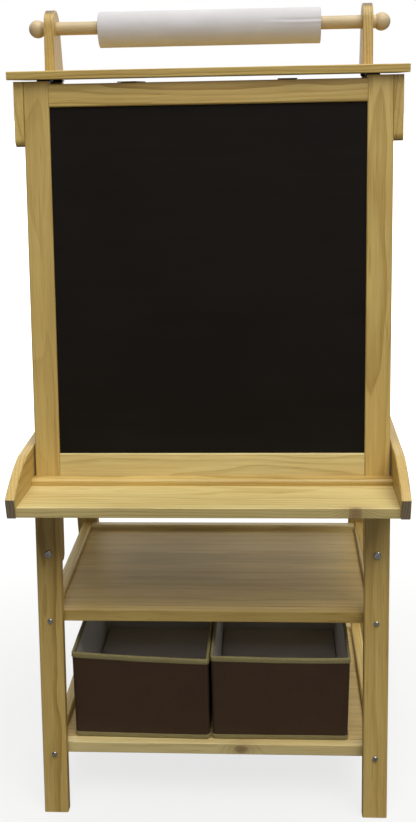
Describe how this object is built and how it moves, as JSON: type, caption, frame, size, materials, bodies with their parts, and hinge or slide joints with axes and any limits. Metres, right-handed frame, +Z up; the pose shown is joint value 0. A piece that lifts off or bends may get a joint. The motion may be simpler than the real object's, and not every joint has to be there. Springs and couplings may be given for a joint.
{
  "type": "kids easel",
  "caption": "Double-sided wooden easel for children: chalkboard, whiteboard, chalk trays, paper roll on a dowel, two shelves and fabric storage bins.",
  "frame": {"origin": "on the floor, midway between the four legs", "axes": "+Z up, +X to the right when facing the chalkboard, +Y from the chalkboard side to the whiteboard side"},
  "size_m": [0.583, 0.5606, 1.2165],
  "materials": {
    "pine": "clear satin lacquer",
    "turned_wood": "clear satin lacquer",
    "peg_wood": "raw",
    "shelf_board": "satin",
    "chalkboard": "matt paint",
    "whiteboard": "gloss",
    "paper": "matt",
    "card_core": "matt",
    "bin_fabric": "woven",
    "bin_trim": "woven tape",
    "bin_lining": "non-woven",
    "steel": "zinc plated",
    "black_metal": "black"
  },
  "bodies": {
    "easel_frame": {"board_hinge_leaves": "black_metal", "board_hinge_pins": "black_metal", "bottom_shelf_back_rail": "pine", "bottom_shelf_front_rail": "pine", "bottom_shelf_left_rail": "pine", "bottom_shelf_panel": "shelf_board", "bottom_shelf_right_rail": "pine", "chalkboard_panel": "chalkboard", "frame_dowels": "peg_wood", "front_bottom_rail": "pine", "front_left_leg": "pine", "front_left_stile": "pine", "front_right_leg": "pine", "front_right_stile": "pine", "front_top_rail": "pine", "front_tray_back_bar": "pine", "front_tray_plank": "pine", "gusset_screws": "steel", "left_gusset": "pine", "left_roll_bracket": "pine", "left_tray_side_board": "pine", "leg_bolt_nuts": "steel", "leg_bolts": "steel", "middle_shelf_back_rail": "pine", "middle_shelf_front_rail": "pine", "middle_shelf_left_rail": "pine", "middle_shelf_panel": "shelf_board", "middle_shelf_right_rail": "pine", "rail_tie_plates": "black_metal", "rear_bottom_rail": "pine", "rear_left_leg": "pine", "rear_left_stile": "pine", "rear_right_leg": "pine", "rear_right_stile": "pine", "rear_top_rail": "pine", "rear_tray_back_bar": "pine", "rear_tray_plank": "pine", "right_gusset": "pine", "right_roll_bracket": "pine", "right_tray_side_board": "pine", "shelf_barrel_nuts": "steel", "shelf_bolts": "steel", "top_board": "pine", "top_screws": "steel", "tray_screws": "steel", "whiteboard_panel": "whiteboard"},
    "roll_dowel_body": {"roll_dowel": "turned_wood", "left_roll_knob": "turned_wood", "right_roll_knob": "turned_wood"},
    "paper_roll_body": {"paper_core": "card_core", "paper_roll": "paper"},
    "left_bin_body": {"left_bin_base_board": "bin_lining", "left_bin_shell": "bin_fabric", "left_bin_trim": "bin_trim"},
    "right_bin_body": {"right_bin_base_board": "bin_lining", "right_bin_shell": "bin_fabric", "right_bin_trim": "bin_trim"}
  },
  "joints": [
    {"name": "dowel_spin", "type": "hinge", "parent": "easel_frame", "child": "roll_dowel_body", "pos_m": [0, 0, 1.1905], "axis": [1, 0, 0], "continuous": true},
    {"name": "paper_roll_spin", "type": "hinge", "parent": "easel_frame", "child": "paper_roll_body", "pos_m": [0, 0, 1.1873], "axis": [1, 0, 0], "continuous": true},
    {"name": "left_bin_slide", "type": "slide", "parent": "easel_frame", "child": "left_bin_body", "axis": [0, -1, 0], "range_m": [0, 0.19]},
    {"name": "right_bin_slide", "type": "slide", "parent": "easel_frame", "child": "right_bin_body", "axis": [0, -1, 0], "range_m": [0, 0.19]}
  ]
}
